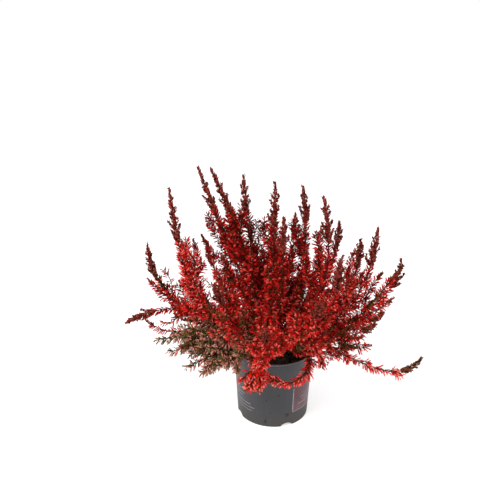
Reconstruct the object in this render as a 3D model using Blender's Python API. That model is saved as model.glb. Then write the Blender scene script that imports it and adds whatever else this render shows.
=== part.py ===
"""A heather with dyed red flower spikes, in a dark nursery pot of 11 cm.

Every spray is a woody stem that stands in its own hole in the soil, carries a flowering spike with a
few side spikes, and ends in a leafy tip of its own colour. All sizes are metres unless a name says
otherwise. +Z is up, +X is right, -Y is the front, and the pot stands on the origin.
"""

import math
import random

import bmesh
import bpy
import numpy as np

# Pot
RIM_R = 0.055
BASE_R = 0.0495
POT_H = 0.100
WALL = 0.0012
LIP_H = 0.0045
LIP_UNDER = 0.0007
LIP_ROUND = 0.0010
BAND_H = 0.013
BAND_RISE = 0.0012
COLLAR_STEP = 0.0002
WALL_TOP_R = RIM_R - 3 * COLLAR_STEP
WALL_SLOPE = (WALL_TOP_R - BASE_R) / POT_H
FOOT_INNER_R = 0.043
FOOT_RISE = 0.004
FOOT_SLANT = 0.0010
FOOT_ROUND = 0.0007
FOOT_ROUND_H = 0.0012
FLOOR_ROUND = 0.0006
RING_SLANT = 0.0002
DRAIN_COUNT = 4
DRAIN_WIDTH = 0.018
DRAIN_H = 0.005
DRAIN_DEPTH = 0.012
DRAIN_INSET = 0.0025
DRAIN_HEADING = -66.4
DRAIN_SIDES = 16
ROUND_SIDES = 28

# Soil
SOIL_TOP = 0.090
SOIL_SHOULDER = 0.004
SOIL_EDGE_R = 0.0495
SOIL_RING_R = 0.028
SOIL_LUMP = 0.0012
LUMP_LIMIT_R = 0.049
LUMPS_ROUND = 5, 9
LUMPS_OUTWARD = 90, -160
HOLE_DEPTH = 0.026
HOLE_R = 0.0027
HOLE_SIDES = 6
UPRIGHT = 0.006
FIT_GAP = 0.0003

# Courses of the sprays
ROOT_SPACING = 0.0078
ROOT_NEAR = 0.004
ROOT_SWING = 0.036
ROOT_LIMIT = 0.043
ROOT_ROUNDS = 200
ROOT_STEP = 0.3
LIP_EDGE = 0.001
POT_ROOM = 0.002
POT_STEP = 0.6
BARE_SHARE = 0.22
ROOM_SHARES = [0.0, 0.1, BARE_SHARE, 1.0]
ROOM = [0.0025, 0.0045, 0.0075, 0.0085]
COMB_ROUNDS = 80
COMB_STEP = 0.25
COMB_SMOOTH = 0.35
TIP_RUNS = [0.08, 0.28]
TIP_SHARES = [0.16, 0.26]

# Side spikes
SIDE_SPIKES = 3
LOW_TIP = 0.17
LOW_SPRAY = 0.115
SHORT_RUN = 0.20
BEHIND = 0.05
TALL_SHARES = 0.26, 0.64
TALL_LENGTHS = 0.045, 0.085
LOW_SHARES = 0.26, 0.44
LOW_LENGTHS = 0.035, 0.050
SHORTER_OUTWARD = 0.5
LEAVE_ANGLE = math.radians(66)
END_ANGLE = math.radians(30.7)
SIDE_PULL = 0.35
SIDE_LIFT = 0.35
SIDE_RISE = 0.012
TIP_SPARE = 0.006
HANGING_SPARE = -0.004
LOW_CEILING = 0.160
OVER_RIM = 0.007
OFF_WALL = 0.008
OWN_ROOM = 0.0095
OTHER_ROOM = 0.0145
TRIES = 90
SEED = 22

# Spikes
STEM_R = 0.0022
CORE_R = 0.0016
NECK_R = 0.0013
FLORET_PITCH = 0.0090
FLORET_STANDS = [0.0032, 0.0049, 0.0049, 0.0034]
FLORET_STAND_SHARES = [0.0, 0.12, 0.8, 1.0]
FLORET_LEAN = 0.0042
LAST_LEAN = 0.6
SIDE_PITCH = 0.0088
SIDE_STAND = 0.0042
SIDE_LAST_STAND = 0.0024
SIDE_BARE = 0.010
SIDE_END = 0.006
SIDE_LEAN = 0.0038
SIDE_NECK_R = 0.0011
LEAF_PITCH = 0.0100
LEAF_STANDS = [0.0042, 0.0038, 0.0014]
LEAF_STAND_SHARES = [0.0, 0.3, 1.0]
LEAF_LEAN = 0.0045
LEAF_START = 0.004
LEAF_END = 0.006
TIP_END_R = 0.0009
TIP_SHOOTS = 2
SHOOT_FIRST = 0.12
SHOOT_STEP = 0.2
SHOOT_TURN = 2.4
SHOOT_LENGTHS = 0.011, 0.015
SHOOT_RADII = [0.0009, 0.0015, 0.0]
SHOOT_AHEAD = 0.84
SHOOT_ASIDE = 0.55

# One row a spray: the heading of its root round the pot in degrees from +X, how far its tip swings
# from that, the tip's reach from the pot's axis and its height above the ground in mm, how far the
# stem leaves its root outward and upward as shares of its length, the slope and heading in which its
# tip points, in degrees, and the share of the length over which it bends to that.
SPRAYS = [
    (193, 0, 137, 331, 0.36, 0.18, 84, 193, 0.42),
    (159, 0, 113, 342, 0.10, 0.36, 68, 159, 0.38),
    (190, 4, 84, 354, 0.08, 0.36, 66, 194, 0.38),
    (123, 0, 84, 325, 0.10, 0.36, 88, 123, 0.38),
    (236, 30, 30, 341, 0.06, 0.36, 84, 250, 0.38),
    (49, 0, 53, 319, 0.20, 0.30, 80, 190, 0.42),
    (325, 0, 70, 327, 0.26, 0.24, 78, 180, 0.44),
    (314, 0, 112, 259, 0.26, 0.16, 92, 314, 0.42),
    (15, 0, 119, 248, 0.38, 0.08, 92, 15, 0.40),
    (351, 0, 130, 281, 0.34, 0.14, 88, 351, 0.42),
    (3, 0, 167, 229, 0.36, 0.14, 98, 3, 0.28),
    (21, 0, 171, 125, 0.28, 0.22, 36, 21, 0.38),
    (339, 0, 140, 162, 0.28, 0.18, 44, 339, 0.38),
    (348, 0, 199, 110, 0.26, 0.22, 64, 348, 0.47),
    (71, 0, 85, 268, 0.16, 0.30, 84, 90, 0.40),
    (279, 0, 61, 305, 0.14, 0.30, 88, 260, 0.40),
    (167, 0, 184, 232, 0.46, 0.06, 94, 167, 0.28),
    (191, 0, 201, 147, 0.16, 0.40, -30, 191, 0.40),
    (205, 0, 166, 142, 0.20, 0.28, 8, 205, 0.38),
    (217, 0, 139, 110, 0.20, 0.30, -10, 210, 0.38),
    (253, 0, 94, 86, 0.45, 0.50, -78, 253, 0.38),
    (318, -52, 90, 104, 0.60, 0.55, 35, 175, 0.80),
    (314, 0, 90, 108, 0.55, 0.80, -82, 300, 0.45),
    (236, 0, 128, 236, 0.24, 0.24, 66, 236, 0.38),
    (266, 0, 162, 205, 0.26, 0.22, 50, 266, 0.38),
    (296, 0, 128, 220, 0.24, 0.24, 60, 296, 0.38),
    (97, 0, 164, 160, 0.26, 0.22, 44, 97, 0.38),
    (129, 0, 168, 205, 0.30, 0.18, 76, 129, 0.38),
    (46, 0, 132, 252, 0.30, 0.18, 84, 100, 0.38),
]
FADED = (19, 20)


def material(name, colour, roughness):
    """A plain Principled material."""
    made = bpy.data.materials.new(name)
    made.use_nodes = True
    shader = made.node_tree.nodes["Principled BSDF"]
    shader.inputs["Base Color"].default_value = (*colour, 1.0)
    shader.inputs["Roughness"].default_value = roughness
    shader.inputs["Metallic"].default_value = 0.0
    made.diffuse_color = (*colour, 1.0)
    return made


def new_object(name, verts, faces, materials, bare_faces=0):
    """A mesh object from its corners and faces. The last slot colours the first bare faces."""
    mesh = bpy.data.meshes.new(name)
    mesh.from_pydata([tuple(v) for v in verts], [], faces)
    for slot in materials:
        mesh.materials.append(slot)
    for face in list(mesh.polygons)[:bare_faces]:
        face.material_index = len(materials) - 1
    mesh.update()
    made = bpy.data.objects.new(name, mesh)
    bpy.context.scene.collection.objects.link(made)
    return made


def boolean(target, others, operation):
    """Join or cut a set of objects into or out of the target, then remove them."""
    tools = bpy.data.collections.new("tools")
    for other in others:
        tools.objects.link(other)
    step = target.modifiers.new("joined", "BOOLEAN")
    step.operation = operation
    step.operand_type = "COLLECTION"
    step.collection = tools
    evaluated = target.evaluated_get(bpy.context.evaluated_depsgraph_get())
    mesh = bpy.data.meshes.new_from_object(evaluated)
    target.modifiers.remove(step)
    target.data = mesh
    bpy.data.collections.remove(tools)
    for other in others:
        bpy.data.objects.remove(other)


def triangulate(target):
    """Split every face into triangles, so that flat ends stay flat."""
    shape = bmesh.new()
    shape.from_mesh(target.data)
    bmesh.ops.triangulate(shape, faces=shape.faces[:])
    shape.to_mesh(target.data)
    shape.free()


# Round pieces

def turned(name, profile, sides, slots, height_at=None):
    """A solid turned about the vertical axis. The profile runs from pole to pole, up its outer side."""
    verts, rings = [], []
    for radius, height in profile:
        if radius == 0.0:
            rings.append([len(verts)])
            verts.append((0.0, 0.0, height))
            continue
        rings.append(list(range(len(verts), len(verts) + sides)))
        for k in range(sides):
            turn = 2 * math.pi * k / sides
            lift = height_at(radius, turn) if height_at and height >= SOIL_TOP else 0.0
            verts.append((radius * math.cos(turn), radius * math.sin(turn), height + lift))
    faces = []
    for low, high in zip(rings, rings[1:]):
        for k in range(sides):
            j = (k + 1) % sides
            if len(low) == 1:
                faces.append((low[0], high[j], high[k]))
            elif len(high) == 1:
                faces.append((low[k], low[j], high[0]))
            else:
                faces.append((low[k], low[j], high[j], high[k]))
    return new_object(name, verts, faces, slots)


def make_pot(slot):
    """A thin moulded pot with a rolled lip, a collar, a raised floor and four drain arches."""
    collar_z = POT_H - BAND_H
    collar_r = RIM_R - 2 * COLLAR_STEP
    inner_r = BASE_R - WALL
    profile = [
        (0.0, FOOT_RISE),
        (FOOT_INNER_R - FOOT_SLANT, FOOT_RISE),
        (FOOT_INNER_R, 0.0),
        (BASE_R - FOOT_ROUND, 0.0),
        (BASE_R, FOOT_ROUND_H),
        (WALL_TOP_R, collar_z),
        (collar_r, collar_z + BAND_RISE),
        (collar_r, POT_H - LIP_H),
        (RIM_R, POT_H - LIP_H + LIP_UNDER),
        (RIM_R, POT_H - LIP_ROUND),
        (RIM_R - LIP_ROUND, POT_H),
        (inner_r + WALL_SLOPE * POT_H, POT_H),
        (inner_r, WALL + FLOOR_ROUND),
        (inner_r - FLOOR_ROUND, WALL),
        (FOOT_INNER_R + WALL, WALL),
        (FOOT_INNER_R + RING_SLANT, FOOT_RISE + WALL),
        (0.0, FOOT_RISE + WALL),
    ]
    pot = turned("pot", profile, ROUND_SIDES, [slot])
    arch_r = (DRAIN_WIDTH ** 2 / 4 + DRAIN_H ** 2) / (2 * DRAIN_H)
    reach = BASE_R - DRAIN_INSET
    arches = []
    for k in range(DRAIN_COUNT):
        heading = math.radians(DRAIN_HEADING + 360 * k / DRAIN_COUNT)
        bpy.ops.mesh.primitive_cylinder_add(vertices=DRAIN_SIDES, radius=arch_r, depth=DRAIN_DEPTH)
        arch = bpy.context.object
        arch.location = (reach * math.cos(heading), reach * math.sin(heading), DRAIN_H - arch_r)
        arch.rotation_euler = (0.0, math.pi / 2, heading)
        arches.append(arch)
    boolean(pot, arches, "DIFFERENCE")
    triangulate(pot)
    return pot


def make_soil(slot, roots):
    """Peat up to 10 mm below the rim, with lumps on top and a plain hole for every stem."""
    bottom_z = FOOT_RISE + WALL + FIT_GAP
    shoulder_z = SOIL_TOP - SOIL_SHOULDER

    def fitted(height):
        return BASE_R + WALL_SLOPE * height - WALL - 2 * FIT_GAP

    def lumps(radius, turn):
        waves = [math.sin(n * turn + m * radius) for n, m in zip(LUMPS_ROUND, LUMPS_OUTWARD)]
        return SOIL_LUMP * (sum(waves) * 0.5 + 0.4) if radius < LUMP_LIMIT_R else 0.0

    profile = [(0.0, bottom_z), (fitted(bottom_z), bottom_z), (fitted(shoulder_z), shoulder_z)]
    profile += [(SOIL_EDGE_R, SOIL_TOP), (SOIL_RING_R, SOIL_TOP), (0.0, SOIL_TOP)]
    soil = turned("soil", profile, ROUND_SIDES, [slot], lumps)
    cutters = []
    for root in roots:
        bpy.ops.mesh.primitive_cylinder_add(vertices=HOLE_SIDES, radius=HOLE_R, depth=HOLE_DEPTH * 2)
        hole = bpy.context.object
        hole.location = (root[0], root[1], SOIL_TOP)
        cutters.append(hole)
    boolean(soil, cutters, "DIFFERENCE")
    triangulate(soil)
    return soil


# Courses of the sprays

def heading_vector(heading, slope=0.0):
    """Unit vector for a heading from +X and a slope above the ground, in degrees."""
    a, s = math.radians(heading), math.radians(slope)
    return np.array([math.cos(s) * math.cos(a), math.cos(s) * math.sin(a), math.sin(s)])


def unit(vector):
    """The same direction with length one."""
    return vector / np.linalg.norm(vector)


def curve(p0, p1, p2, p3, count):
    """Points of a cubic curve."""
    t = np.linspace(0.0, 1.0, count)[:, None]
    return (1 - t) ** 3 * p0 + 3 * (1 - t) ** 2 * t * p1 + 3 * (1 - t) * t ** 2 * p2 + t ** 3 * p3


def spread_roots():
    """Places of the stems in the soil: the flatter a spray leaves the pot, the nearer to the rim."""
    roots = []
    for heading, _, reach, height, *_ in SPRAYS:
        flatness = math.atan2(reach / 1000, max(height / 1000 - SOIL_TOP, 0.001)) / (math.pi / 2)
        roots.append((ROOT_NEAR + ROOT_SWING * flatness) * heading_vector(heading)[:2])
    roots = np.array(roots)
    itself = np.eye(len(roots))
    for _ in range(ROOT_ROUNDS):
        away = roots[:, None] - roots[None]
        far = np.linalg.norm(away, axis=2) + itself
        short = np.clip(ROOT_SPACING - far, 0.0, None) * (1 - itself)
        roots += ROOT_STEP * (away / far[..., None] * short[..., None]).sum(axis=1)
        out = np.linalg.norm(roots, axis=1, keepdims=True)
        roots *= np.minimum(1.0, ROOT_LIMIT / out)
    return roots


def off_the_pot(points, width):
    """Shift that lifts points over the rim and holds hanging ones off the wall."""
    reach = np.linalg.norm(points[:, :2], axis=1)
    outward = points[:, :2] / (reach[:, None] + 1e-9)
    side, rise = reach - RIM_R + LIP_EDGE, points[:, 2] - POT_H + LIP_EDGE
    far = np.hypot(side, rise) + 1e-9
    short = np.clip(width + POT_ROOM - far, 0.0, None)
    below = np.clip(RIM_R + width + LIP_EDGE - reach, 0.0, None) * ((rise < 0) & (side > 0))
    out = np.where(below > 0, below, short * side / far)
    up = np.where(below > 0, 0.0, short * np.abs(rise) / far)
    return np.column_stack([outward * out[:, None], up]) * POT_STEP


def main_paths(roots, count=41):
    """The course of every main stem from the soil to its tip, combed so that none crowds another."""
    paths = []
    for (heading, swing, reach, height, out, up, slope, facing, pull), root in zip(SPRAYS, roots):
        base = np.array([root[0], root[1], SOIL_TOP + UPRIGHT])
        tip = heading_vector(heading + swing) * reach / 1000 + [0, 0, height / 1000]
        length = np.linalg.norm(tip - base)
        leave = base + heading_vector(heading) * out * length + [0, 0, up * length]
        arrive = tip - heading_vector(facing, slope) * pull * length
        paths.append(curve(base, leave, arrive, tip, count))
    start = np.array(paths)
    shift = np.zeros_like(start)
    width = np.tile(np.interp(np.linspace(0.0, 1.0, count), ROOM_SHARES, ROOM), len(start))
    same = np.repeat(np.arange(len(start)), count)
    apart = same[:, None] != same[None]
    for _ in range(COMB_ROUNDS):
        flat = (start + shift).reshape(-1, 3)
        shift += off_the_pot(flat, width).reshape(start.shape)
        away = flat[:, None] - flat[None]
        far = np.linalg.norm(away, axis=2) + 1e-9
        short = np.clip(width[:, None] + width[None] - far, 0.0, None) * apart
        shift += COMB_STEP * (away * (short / far)[..., None]).sum(axis=1).reshape(start.shape)
        shift[:, 0] = 0.0
        shift[:, 1:-1] += COMB_SMOOTH * (shift[:, :-2] + shift[:, 2:] - 2 * shift[:, 1:-1])
    return start + shift


def resampled(path, places):
    """Points at the given distances along a path."""
    steps = np.linalg.norm(np.diff(path, axis=0), axis=1)
    run = np.concatenate([[0.0], np.cumsum(steps)])
    return np.stack([np.interp(places, run, path[:, k]) for k in range(3)], axis=1)


def run_of(path):
    """Length of a path."""
    return float(np.linalg.norm(np.diff(path, axis=0), axis=1).sum())


def joint_of(main):
    """Distance along a stem at which its leafy tip begins: a tall one has more tip."""
    whole = run_of(main)
    return whole * (1 - float(np.interp(whole, TIP_RUNS, TIP_SHARES)))


def branch_path(rng, main, shares, lengths):
    """A branch that leaves a main stem at an angle and bends back to its direction."""
    share = rng.uniform(*shares)
    length = rng.uniform(*lengths) * (1.2 - SHORTER_OUTWARD * share)
    place = int(share * (len(main) - 1))
    along = unit(main[place + 1] - main[place - 1])
    level = unit(np.cross(along, [0.0, 0.0, 1.0]))
    turn = rng.uniform(0, 2 * math.pi)
    side = level * math.cos(turn) + np.cross(level, along) * math.sin(turn)
    start = main[place]
    end = start + (math.cos(END_ANGLE) * along + math.sin(END_ANGLE) * side) * length
    leave = start + (math.cos(LEAVE_ANGLE) * along + math.sin(LEAVE_ANGLE) * side) * length * SIDE_PULL
    arrive = end - unit(along + np.array([0.0, 0.0, SIDE_LIFT])) * length * SIDE_PULL
    return curve(start, leave, arrive, end, 13)


def inside_bush(path, tip):
    """Whether a branch ends within its spray's own reach and height, and rises on a tall one."""
    spare = TIP_SPARE if tip[2] > POT_H else HANGING_SPARE
    reach, own = np.linalg.norm(path[-1, :2]), np.linalg.norm(tip[:2])
    rising = tip[2] < LOW_TIP or path[-1, 2] > path[0, 2] + SIDE_RISE
    level = min(tip[2], POT_H) < path[-1, 2] < max(tip[2], LOW_CEILING) - TIP_SPARE
    return rising and level and reach < own - spare


def clear_of_pot(path):
    """Whether a branch passes over the rim or stays outside the wall."""
    reach = np.linalg.norm(path[:, :2], axis=1)
    above = path[:, 2] > POT_H + OVER_RIM
    beside = (reach > RIM_R + OFF_WALL) & (path[:, 2] > OFF_WALL)
    return bool(np.all(above | beside))


def side_paths(mains):
    """Side spikes for every spray, each kept only where it has room. A short or low one has fewer."""
    rng = random.Random(SEED)
    taken = mains.reshape(-1, 3)
    owner = np.repeat(np.arange(len(mains)), mains.shape[1])
    chosen = [[] for _ in mains]
    for turn in range(SIDE_SPIKES + 1):
        for k, main in enumerate(mains):
            tip = main[-1]
            wanted = SIDE_SPIKES - (run_of(main) < SHORT_RUN) + (tip[1] > BEHIND) - (tip[2] < LOW_SPRAY)
            if turn >= wanted:
                continue
            tall = tip[2] > LOW_TIP
            shares, lengths = (TALL_SHARES, TALL_LENGTHS) if tall else (LOW_SHARES, LOW_LENGTHS)
            for _ in range(TRIES):
                path = branch_path(rng, main, shares, lengths)
                free = path[3:]
                far = np.linalg.norm(free[:, None] - taken[None], axis=2)
                room = np.where(owner == k, OWN_ROOM, OTHER_ROOM)
                if inside_bush(path, tip) and clear_of_pot(free) and np.all(far > room[None]):
                    chosen[k].append(path)
                    taken = np.vstack([taken, path[2:]])
                    owner = np.concatenate([owner, np.full(len(path) - 2, -1)])
                    break
    return chosen


# Spikes

def carried_frames(points):
    """Direction, side and third axis at each point, carried along the path without twist."""
    along = np.gradient(points, axis=0)
    along /= np.linalg.norm(along, axis=1, keepdims=True)
    side = np.array([1.0, 0.0, 0.0])
    sides = []
    for direction in along:
        side = unit(side - direction * np.dot(side, direction))
        sides.append(side)
    sides = np.array(sides)
    return along, sides, np.cross(along, sides)


def spike(points, core, stand, lean, corners, pointed):
    """A closed tube with florets or leaves in relief.

    Every other corner of every ring stands out and leans forward, and each one is the peak of a
    four-sided point whose foot is the slim core. Rings with no stand are bare stem.
    """
    along, side, third = carried_frames(points)
    verts, faces = [], []
    rings = len(points) - 1 if pointed else len(points)
    for k in range(rings):
        for j in range(corners):
            turn = 2 * math.pi * j / corners
            out = side[k] * math.cos(turn) + third[k] * math.sin(turn)
            peak = (j + k) % 2 == 0 and stand[k] > 0
            reach = core[k] + (stand[k] if peak else 0.0)
            verts.append(points[k] + out * reach + along[k] * (lean[k] if peak else 0.0))
    faces.append(tuple(reversed(range(corners))))
    for k in range(rings - 1):
        for j in range(corners):
            a = k * corners + j
            b = k * corners + (j + 1) % corners
            c, d = b + corners, a + corners
            faces += [(a, b, d), (b, c, d)] if (j + k) % 2 == 0 else [(a, b, c), (a, c, d)]
    last = (rings - 1) * corners
    if pointed:
        verts.append(points[-1])
        faces += [(last + j, last + (j + 1) % corners, len(verts) - 1) for j in range(corners)]
    else:
        faces.append(tuple(range(last, last + corners)))
    return verts, faces


def ring_places(start, end, pitch):
    """Evenly spaced places of the rings along a flowering or leafy stretch."""
    count = max(2, round((end - start) / pitch))
    return np.linspace(start, end, count + 1)


def make_spray(name, main, sides, slots):
    """Stem, flowering spike and side spikes of one spray, fused."""
    buried = HOLE_DEPTH + UPRIGHT - FIT_GAP
    path = np.vstack([main[0] - [0, 0, buried], main])
    end = buried + joint_of(main)
    bare = HOLE_DEPTH + UPRIGHT + BARE_SHARE * run_of(main)
    stem = np.concatenate([[0.0], np.linspace(HOLE_DEPTH + UPRIGHT / 2, bare, 4)[:-1]])
    blooms = ring_places(bare, end - FLORET_PITCH / 2, FLORET_PITCH)
    places = np.concatenate([stem, blooms, [end]])
    share = (places - bare) / (end - bare)
    core = np.interp(places, [0.0, bare, end], [STEM_R, CORE_R, NECK_R])
    stand = np.interp(share, FLORET_STAND_SHARES, FLORET_STANDS)
    stand[places < bare] = 0.0
    stand[-1] = 0.0
    lean = np.where(stand > 0, FLORET_LEAN * np.interp(share, [0.8, 1.0], [1.0, LAST_LEAN]), 0.0)
    verts, faces = spike(resampled(path, places), core, stand, lean, 6, False)
    spray = new_object(name, verts, faces, slots, bare_faces=1 + 12 * (len(stem) - 1))
    limbs = []
    for side in sides:
        length = run_of(side)
        places = np.concatenate([[0.0], ring_places(SIDE_BARE, length - SIDE_END, SIDE_PITCH), [length]])
        core = np.interp(places, [0.0, length], [NECK_R, SIDE_NECK_R])
        stands = [0.0, SIDE_STAND, SIDE_STAND, SIDE_LAST_STAND]
        stand = np.interp(places, [0.0, SIDE_BARE, 0.6 * length, length], stands)
        lean = np.where(stand > 0, SIDE_LEAN, 0.0)
        verts, faces = spike(resampled(side, places), core, stand, lean, 4, True)
        limbs.append(new_object(name + "_side", verts, faces, slots))
    if limbs:
        boolean(spray, limbs, "UNION")
    triangulate(spray)
    return spray


def make_tip(name, main, rng, slot):
    """Leafy end of a spray, with short side shoots that point forward."""
    whole = run_of(main)
    start = joint_of(main) + FIT_GAP
    places = np.concatenate([[start], ring_places(start + LEAF_START, whole - LEAF_END, LEAF_PITCH), [whole]])
    share = (places - start) / (whole - start)
    core = np.interp(share, [0.0, 1.0], [NECK_R, TIP_END_R])
    stand = np.interp(share, LEAF_STAND_SHARES, LEAF_STANDS)
    stand[0] = 0.0
    lean = np.where(stand > 0, LEAF_LEAN, 0.0)
    verts, faces = spike(resampled(main, places), core, stand, lean, 4, True)
    tip = new_object(name, verts, faces, [slot])
    shoots = []
    for k in range(TIP_SHOOTS):
        place = start + (SHOOT_FIRST + SHOOT_STEP * k) * (whole - start)
        spot, ahead = resampled(main, np.array([place, place + 0.002]))
        along = unit(ahead - spot)
        turn = SHOOT_TURN * k + rng.uniform(-0.5, 0.5)
        level = unit(np.cross(along, [0.3, 0.5, 0.81]))
        side = level * math.cos(turn) + np.cross(along, level) * math.sin(turn)
        length = rng.uniform(*SHOOT_LENGTHS)
        points = spot + np.outer([0.0, 0.45, 1.0], SHOOT_AHEAD * along * length)
        points = points + np.outer([0.0, 0.45, 0.75], SHOOT_ASIDE * side * length)
        verts, faces = spike(points, SHOOT_RADII, [0, 0, 0], [0, 0, 0], 3, True)
        shoots.append(new_object(name + "_shoot", verts, faces, [slot]))
    boolean(tip, shoots, "UNION")
    triangulate(tip)
    return tip


for old in list(bpy.data.objects):
    bpy.data.objects.remove(old)

PLASTIC = material("dark pot plastic", (0.075, 0.085, 0.095), 0.42)
PEAT = material("peat", (0.030, 0.020, 0.013), 0.95)
RED = material("dyed red florets", (0.62, 0.018, 0.022), 0.60)
PALE = material("faded florets", (0.52, 0.24, 0.20), 0.65)
MAROON = material("maroon leaves", (0.13, 0.012, 0.012), 0.60)
BARK = material("woody stem", (0.10, 0.055, 0.030), 0.80)

make_pot(PLASTIC)
stem_roots = spread_roots()
make_soil(PEAT, stem_roots)
stems = main_paths(stem_roots)
spikes = side_paths(stems)
shoot_rng = random.Random(SEED + 1)
for number, (stem_path, side_spikes) in enumerate(zip(stems, spikes), start=1):
    florets = PALE if number in FADED else RED
    make_spray(f"flower_spray_{number:02d}", stem_path, side_spikes, [florets, BARK])
    make_tip(f"leafy_tip_{number:02d}", stem_path, shoot_rng, MAROON)
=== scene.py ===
import math
import random

import bmesh
import bpy
import numpy as np
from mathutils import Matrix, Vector, noise


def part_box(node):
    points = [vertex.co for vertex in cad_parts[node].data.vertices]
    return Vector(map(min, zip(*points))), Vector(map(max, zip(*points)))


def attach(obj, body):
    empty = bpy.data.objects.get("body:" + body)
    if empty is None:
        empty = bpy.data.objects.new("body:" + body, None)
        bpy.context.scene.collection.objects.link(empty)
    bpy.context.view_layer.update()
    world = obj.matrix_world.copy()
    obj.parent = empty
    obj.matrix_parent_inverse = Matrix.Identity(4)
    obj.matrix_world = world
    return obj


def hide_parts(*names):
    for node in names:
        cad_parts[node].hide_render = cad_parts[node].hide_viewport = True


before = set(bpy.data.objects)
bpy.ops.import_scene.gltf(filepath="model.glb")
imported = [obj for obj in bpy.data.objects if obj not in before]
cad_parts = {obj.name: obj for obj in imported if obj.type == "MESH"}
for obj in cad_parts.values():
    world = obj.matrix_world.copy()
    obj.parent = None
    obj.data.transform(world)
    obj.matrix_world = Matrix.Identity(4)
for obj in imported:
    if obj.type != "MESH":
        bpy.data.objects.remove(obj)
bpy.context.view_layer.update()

# The nursery pot is one thin piece of dark grey polypropylene. It is injection moulded, with a rolled
# lip, a collar that stops stacked pots from jamming, a raised floor and four arches in its foot for
# the water. A plain panel and a few rules are printed on its wall.
RIM_R, POT_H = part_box("pot")[1].x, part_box("pot")[1].z
BASE_R = 0.0495
WALL = 0.0012
LIP_H = 0.0045
LIP_ROUND = 0.0011
LIP_UNDER = 0.0003
LIP_HIGHLIGHT_H = 0.0022
INNER_ROUND = 0.0006
COLLAR_STEP = 0.0002
COLLAR_BEVEL = 0.0006
COLLAR_Z = POT_H - 0.013
COLLAR_R = RIM_R - 2 * COLLAR_STEP
WALL_TOP_R = RIM_R - 3 * COLLAR_STEP
WALL_SLOPE = (WALL_TOP_R - BASE_R) / POT_H
FOOT_INNER_R = 0.043
FOOT_RISE = 0.004
FOOT_SLANT = 0.001
FOOT_ROUND = 0.0012
RING_SLANT = 0.0002
DRAIN_WIDTH = 0.018
DRAIN_H = 0.005
DRAIN_DEPTH = 0.012
DRAIN_INSET = 0.0025
DRAIN_COUNT = 4
DRAIN_HEADING = -66.4
ARCH_SIDES = 72
POT_SIDES = 160
SHARP_EDGE = math.radians(32)
PANEL_HEADINGS = math.radians(-57), math.radians(-4)
PANEL_HEIGHTS = 0.021, 0.058
PANEL_SIDE = PANEL_HEADINGS[0] - 0.012, PANEL_HEADINGS[0] + 0.012
PANEL_FOOT = PANEL_HEIGHTS[0] - 0.0006, PANEL_HEIGHTS[0] + 0.0004
RULE_H = 0.0008
RULES_LEFT = math.radians(-166), math.radians(-112)
GREY_PLASTIC = (0.022, 0.024, 0.033)
GREY_WARM = (0.034, 0.032, 0.032)
PEAT_DUST = (0.060, 0.048, 0.034)
PEAT_STAIN = (0.009, 0.007, 0.006)
LIP_HIGHLIGHT = (0.120, 0.112, 0.112)
PRINT_RED = (0.090, 0.020, 0.032)
PRINT_ROSE = (0.210, 0.090, 0.120)
PRINT_PALE = (0.300, 0.285, 0.290)

# One row a printed rule: its height on the wall, and the headings in degrees that it runs between. The
# first six stand on the left of the pot, and the others in the panel.
RULES = [
    (0.0480, -163, -146), (0.0430, -162, -138), (0.0380, -161, -143),
    (0.0300, -159, -126), (0.0250, -157, -119), (0.0200, -156, -124),
    (0.0450, -36, -16), (0.0402, -43, -11), (0.0354, -39, -20), (0.0306, -46, -14),
]


class Value:
    """One output of a node. Python's operators on it add the Math nodes that they stand for."""

    def __init__(self, graph, socket):
        self.graph, self.socket = graph, socket

    def math(self, operation, *others):
        sockets = dict(enumerate((self, *others)))
        return self.graph.node("ShaderNodeMath", {"operation": operation}, sockets)

    def other(self, name):
        return Value(self.graph, self.socket.node.outputs[name])

    def __add__(self, other):
        return self.math("ADD", other)

    __radd__ = __add__

    def __mul__(self, other):
        return self.math("MULTIPLY", other)

    __rmul__ = __mul__

    def __sub__(self, other):
        return self.math("SUBTRACT", other)

    def __rsub__(self, other):
        return self.graph.node("ShaderNodeMath", {"operation": "SUBTRACT"}, {0: other, 1: self})

    def __gt__(self, other):
        return self.math("GREATER_THAN", other)

    def __lt__(self, other):
        return self.math("LESS_THAN", other)


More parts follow.
